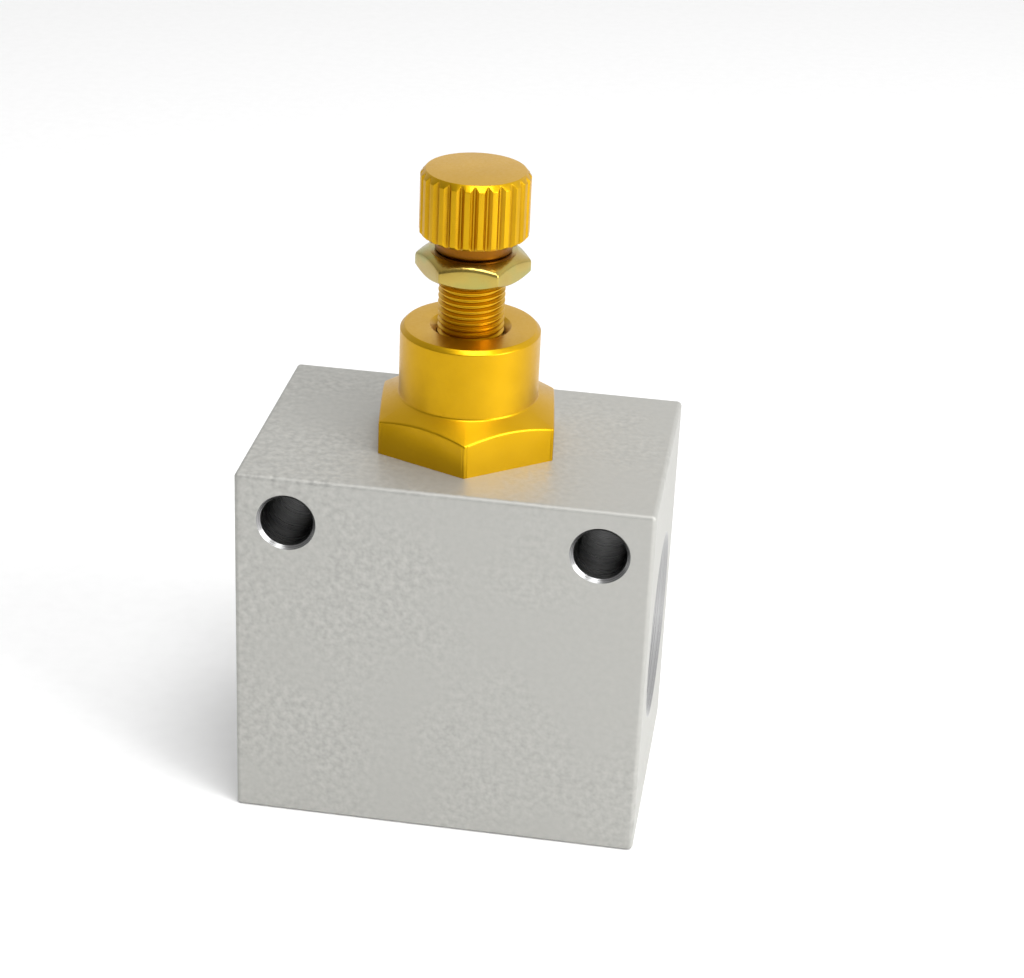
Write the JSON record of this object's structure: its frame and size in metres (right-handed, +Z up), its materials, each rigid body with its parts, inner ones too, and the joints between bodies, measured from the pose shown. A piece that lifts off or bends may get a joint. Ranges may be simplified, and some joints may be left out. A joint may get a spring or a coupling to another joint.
{
  "type": "flow control valve",
  "caption": "In-line one-way flow control valve: aluminium block with end ports, cross mounting holes, and a gold throttle spindle with knurled knob and lock nut.",
  "frame": {"origin": "centre of the block's bottom face", "axes": "+X from the left port to the right port, the free-flow direction; +Y from the front face to the back face, along the mounting holes; +Z up along the spindle axis, towards the knob"},
  "size_m": [0.05, 0.0336, 0.0805],
  "materials": {
    "body_aluminium": "sandblasted, clear anodised",
    "gold_brass": "turned brass with a gold lacquer",
    "plain_brass": "turned",
    "zinc_steel": "yellow zinc plated",
    "steel": "ground",
    "spring_steel": "drawn wire",
    "nitrile": "matt"
  },
  "bodies": {
    "housing": {"valve_body": "body_aluminium", "bonnet": "gold_brass", "bonnet_seal": "nitrile", "seat_ring": "plain_brass", "seat_o_ring": "nitrile", "check_spring": "spring_steel"},
    "needle": {"throttle_needle": "steel"},
    "spindle": {"throttle_spindle": "gold_brass", "control_knob": "gold_brass", "spindle_o_ring_lower": "nitrile", "spindle_o_ring_upper": "nitrile", "needle_clip": "spring_steel"},
    "nut": {"lock_nut": "zinc_steel"},
    "check": {"check_poppet": "plain_brass", "check_seal": "nitrile", "seal_retainer": "plain_brass"}
  },
  "joints": [
    {"name": "stem_lift", "type": "slide", "parent": "housing", "child": "needle", "axis": [0, 0, 1], "range_m": [0, 0.006]},
    {"name": "stem_turn", "type": "hinge", "parent": "needle", "child": "spindle", "pos_m": [0, 0, 0.06], "axis": [0, 0, 1], "range_deg": [0, 2880]},
    {"name": "nut_travel", "type": "slide", "parent": "housing", "child": "nut", "axis": [0, 0, 1], "range_m": [-0.0063, 0]},
    {"name": "check_lift", "type": "slide", "parent": "housing", "child": "check", "axis": [0, 0, 1], "range_m": [0, 0.0024], "stiffness_N_per_m": 300, "springref_m": -0.004, "deforming": ["check_spring"]}
  ],
  "couplings": [
    {"joint": "stem_turn", "follows": "stem_lift", "rad_per_m": 8377.6}
  ]
}
